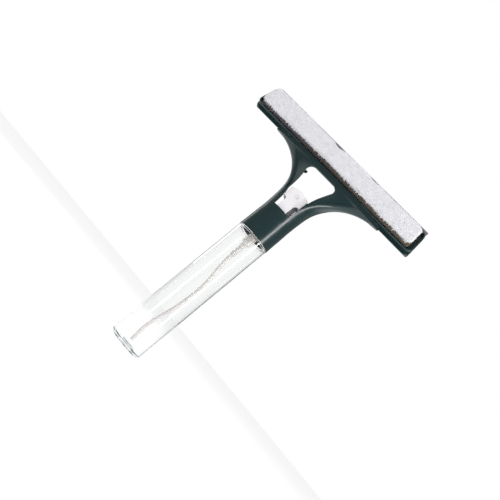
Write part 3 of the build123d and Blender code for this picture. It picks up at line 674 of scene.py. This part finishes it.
class SQUEEGEE_OT_head(bpy.types.Operator):
    """Finishes the moulded head and the pad's tray in satin green"""

    bl_idname = "squeegee.head"
    bl_label = "Head and tray"

    def execute(self, context):
        green = abs_satin_green(context.scene.squeegee_colours.head)
        finish_nodes(green, "green_plastic", "head_frame", "pad_tray")
        return {"FINISHED"}


class SQUEEGEE_OT_blade(bpy.types.Operator):
    """Finishes the rubber blade"""

    bl_idname = "squeegee.blade"
    bl_label = "Rubber blade"

    def execute(self, context):
        rubber = extruded_rubber(context.scene.squeegee_colours.blade)
        finish_nodes(rubber, "blade_rubber", "wiper_blade")
        return {"FINISHED"}


class SQUEEGEE_OT_bottle(bpy.types.Operator):
    """Finishes the clear bottle that is the handle"""

    bl_idname = "squeegee.bottle"
    bl_label = "Bottle"

    def execute(self, context):
        finish_nodes(blown_pet(), "clear_bottle", "bottle")
        return {"FINISHED"}


class SQUEEGEE_OT_pump(bpy.types.Operator):
    """Finishes the closure and the pump's inner pieces"""

    bl_idname = "squeegee.pump"
    bl_label = "Pump"

    def execute(self, context):
        colours = context.scene.squeegee_colours
        finish_nodes(polypropylene_white(colours.actuator), "white_plastic", "pump_closure")
        milky = polyethylene_natural(colours.natural, 0.4, "polyethylene_natural_moulded")
        finish_nodes(
            milky, "natural_plastic", "pump_housing", "guide_sleeve", "pump_stem", "pump_piston"
        )
        straw = polyethylene_natural(colours.natural, 0.35, "polyethylene_natural_extruded")
        finish_nodes(straw, "natural_plastic", "dip_tube")
        finish_nodes(gasket_foam(), "gasket_rubber", "neck_gasket")
        steel = stainless_steel()
        finish_nodes(steel, "steel", "return_spring", "inlet_ball", "outlet_ball")
        return {"FINISHED"}


class SQUEEGEE_OT_actuator(bpy.types.Operator):
    """Finishes the finger pump's actuator and its nozzle insert"""

    bl_idname = "squeegee.actuator"
    bl_label = "Actuator"

    def execute(self, context):
        white = polypropylene_white(context.scene.squeegee_colours.actuator)
        finish_nodes(white, "white_plastic", "actuator", "nozzle_insert")
        return {"FINISHED"}


class SQUEEGEE_OT_hook_tape(bpy.types.Operator):
    """Models the two strips of hook tape with their hooks"""

    bl_idname = "squeegee.hook_tape"
    bl_label = "Hook tape"

    def execute(self, context):
        scene = context.scene
        nylon = nylon_hooks(scene.squeegee_colours.fabric)
        ground = sum(HOOK_Z) / 2
        clear_selection()
        bpy.ops.mesh.primitive_cube_add(
            size=1, location=(-HOOK_STRIP_X, TRAY_H / 2, (HOOK_Z[0] + ground) / 2)
        )
        tape = start_piece("hook_tape")
        tape.scale = (HOOK_STRIP_L, HOOK_STRIP_H, ground - HOOK_Z[0])
        bpy.ops.object.transform_apply(location=True, rotation=True, scale=True)
        round_corners(tape, HOOK_STRIP_CORNER, 4)
        apply_modifier(
            tape, "ARRAY", count=2, use_relative_offset=False, use_constant_offset=True,
            constant_offset_displace=(2 * HOOK_STRIP_X, 0, 0),
        )
        seed = scene.squeegee_studio.pile_seed
        hook_height = (HOOK_Z[1] - ground) * 0.9
        spacing = scene.squeegee_sizes.hook_spacing
        raise_pile(tape, nylon, hook_height, spacing, seed, front=0.5, hang=0)
        to_bar(tape)
        finish_piece(tape, nylon, "hook_tape", "head", "hook_strips")
        return {"FINISHED"}


class SQUEEGEE_OT_pad_core(bpy.types.Operator):
    """Models the foam of the pad and the loop fabric behind it"""

    bl_idname = "squeegee.pad_core"
    bl_label = "Pad foam and backing"

    def execute(self, context):
        colours = context.scene.squeegee_colours
        foam = pad_slab("foam_core", *FOAM_Z, 0.3 * MM)
        swell(foam, 0.9 * MM, 0.35 * MM, FOAM_Z[0] + 0.4 * MM)
        roughen(foam, 5 * MM, 0.5 * MM)
        to_bar(foam)
        bpy.ops.object.shade_smooth()
        finish_piece(foam, open_foam(colours.foam), "pad_foam", "pad", "pad_foam")
        low, high = (height + LAYER_GAP for height in BACKING_Z)
        backing = pad_slab("loop_backing", low, high, 0.5 * MM)
        apply_modifier(backing, "REMESH", mode="VOXEL", voxel_size=0.7 * MM)
        roughen(backing, 1.1 * MM, 0.12 * MM)
        to_bar(backing)
        bpy.ops.object.shade_smooth()
        finish_piece(backing, loop_velour(colours.fabric), "loop_fabric", "pad", "pad_backing")
        return {"FINISHED"}


class SQUEEGEE_OT_pad_cover(bpy.types.Operator):
    """Models the white microfibre cover, swollen over the foam and raised into a pile"""

    bl_idname = "squeegee.pad_cover"
    bl_label = "Microfibre cover"

    def execute(self, context):
        sizes = context.scene.squeegee_sizes
        white = microfibre_pile(context.scene.squeegee_colours.pile)
        cover = pad_slab("microfibre_cover", *COVER_Z, 0.4 * MM)
        swell(cover, 0.8 * MM, sizes.swell, COVER_Z[0] + 0.3 * MM)
        for along, depth, reach in DENTS:
            dent(cover, along, depth, reach)
        roughen(cover, 34 * MM, 1.6 * MM, "Y")
        roughen(cover, 7 * MM, 0.6 * MM)
        roughen(cover, 1.3 * MM, 0.35 * MM)
        seed = context.scene.squeegee_studio.pile_seed
        raise_pile(cover, white, sizes.pile_height, sizes.pile_spacing, seed)
        to_bar(cover)
        bpy.ops.object.shade_smooth()
        finish_piece(cover, white, "microfibre", "pad", "pad_face")
        return {"FINISHED"}


def look_from(place, forward, roll):
    """A camera's matrix from its place, the way it looks and how far it is rolled."""
    level = forward.cross(Vector((0, 0, 1))).normalized()
    up = level.cross(forward)
    across = level * cos(roll) + up * sin(roll)
    over = up * cos(roll) - level * sin(roll)
    turn = Matrix((across, over, -forward)).transposed()
    return Matrix.Translation(place) @ turn.to_4x4()


def soft_light(name, place, aim, size, power):
    lamp = bpy.data.lights.new(name, "AREA")
    lamp.shape = "RECTANGLE"
    lamp.size, lamp.size_y = size
    lamp.energy = power
    holder = bpy.data.objects.new(name, lamp)
    bpy.context.scene.collection.objects.link(holder)
    holder.location = place
    holder.rotation_euler = (Vector(aim) - Vector(place)).to_track_quat("-Z", "Y").to_euler()
    return holder


def studio_world():
    """White all round the object, and a dimmer room for its glossy faces to reflect."""
    world = bpy.data.worlds.new("studio")
    bpy.context.scene.world = world
    world.use_nodes = True
    tree = world.node_tree
    tree.nodes.clear()
    ray = add(tree, "ShaderNodeLightPath").outputs
    mirrored = add(
        tree, "ShaderNodeMath", operation="SUBTRACT", use_clamp=True,
        links={0: ray["Is Glossy Ray"], 1: ray["Is Transmission Ray"]},
    ).outputs[0]
    wall = add(tree, "ShaderNodeBackground", inputs={"Color": (1, 1, 1, 1), "Strength": WALL_STRENGTH})
    room = add(tree, "ShaderNodeBackground", inputs={"Color": (1, 1, 1, 1), "Strength": ROOM_STRENGTH})
    both = add(
        tree, "ShaderNodeMixShader",
        links={0: mirrored, 1: wall.outputs[0], 2: room.outputs[0]},
    )
    add(tree, "ShaderNodeOutputWorld", links={"Surface": both.outputs[0]})


class SQUEEGEE_OT_stage(bpy.types.Operator):
    """Sets the pale floor, the soft lights and the camera"""

    bl_idname = "squeegee.stage"
    bl_label = "Studio"

    def execute(self, context):
        studio = context.scene.squeegee_studio
        clear_selection()
        bpy.ops.mesh.primitive_circle_add(
            vertices=64, radius=FLOOR_RADIUS, fill_type="NGON", location=(0, 0, 0)
        )
        floor = start_piece("floor")
        floor.data.materials.append(studio_board())
        soft_light("key", (0.95, -0.38, 0.3), LIGHTS_AIM, (0.2, 1.0), studio.key)
        soft_light("fill", (-0.5, -0.7, 1.2), LIGHTS_AIM, (0.9, 0.9), studio.fill)
        soft_light("rim", (-0.9, 0.5, 0.6), LIGHTS_AIM, (0.3, 0.9), studio.fill * 0.6)
        studio_world()
        lens = bpy.data.cameras.new("camera")
        lens.sensor_width = SENSOR_WIDTH
        lens.lens = studio.lens
        camera = bpy.data.objects.new("camera", lens)
        context.scene.collection.objects.link(camera)
        flat = cos(CAMERA_PITCH)
        forward = Vector((-sin(CAMERA_YAW) * flat, cos(CAMERA_YAW) * flat, sin(CAMERA_PITCH)))
        camera.matrix_world = look_from(Vector(CAMERA_PLACE), forward, CAMERA_ROLL)
        context.scene.camera = camera
        context.scene.view_settings.view_transform = "Standard"
        return {"FINISHED"}


OPERATORS = (
    SQUEEGEE_OT_head,
    SQUEEGEE_OT_blade,
    SQUEEGEE_OT_bottle,
    SQUEEGEE_OT_pump,
    SQUEEGEE_OT_actuator,
    SQUEEGEE_OT_hook_tape,
    SQUEEGEE_OT_pad_core,
    SQUEEGEE_OT_pad_cover,
    SQUEEGEE_OT_stage,
)


class SQUEEGEE_PT_panel(bpy.types.Panel):
    """Lists the squeegee's operators with their sizes and colours"""

    bl_idname = "SQUEEGEE_PT_panel"
    bl_label = "Squeegee"
    bl_space_type = "VIEW_3D"
    bl_region_type = "UI"
    bl_category = "Squeegee"

    def draw(self, context):
        scene = context.scene
        for group in (scene.squeegee_colours, scene.squeegee_sizes, scene.squeegee_studio):
            box = self.layout.box()
            for key in group.__annotations__:
                box.prop(group, key)
        for operator in OPERATORS:
            self.layout.operator(operator.bl_idname)


CLASSES = (SqueegeeColours, SqueegeeSizes, StudioSettings, *OPERATORS, SQUEEGEE_PT_panel)


def register():
    for item in CLASSES:
        bpy.utils.register_class(item)
    bpy.types.Scene.squeegee_colours = PointerProperty(type=SqueegeeColours)
    bpy.types.Scene.squeegee_sizes = PointerProperty(type=SqueegeeSizes)
    bpy.types.Scene.squeegee_studio = PointerProperty(type=StudioSettings)


def unregister():
    del bpy.types.Scene.squeegee_studio
    del bpy.types.Scene.squeegee_sizes
    del bpy.types.Scene.squeegee_colours
    for item in reversed(CLASSES):
        bpy.utils.unregister_class(item)


def main():
    register()
    bpy.ops.squeegee.head()
    bpy.ops.squeegee.blade()
    bpy.ops.squeegee.bottle()
    bpy.ops.squeegee.pump()
    bpy.ops.squeegee.actuator()
    bpy.ops.squeegee.hook_tape()
    bpy.ops.squeegee.pad_core()
    bpy.ops.squeegee.pad_cover()
    bpy.ops.squeegee.stage()


if __name__ == "__main__":
    main()
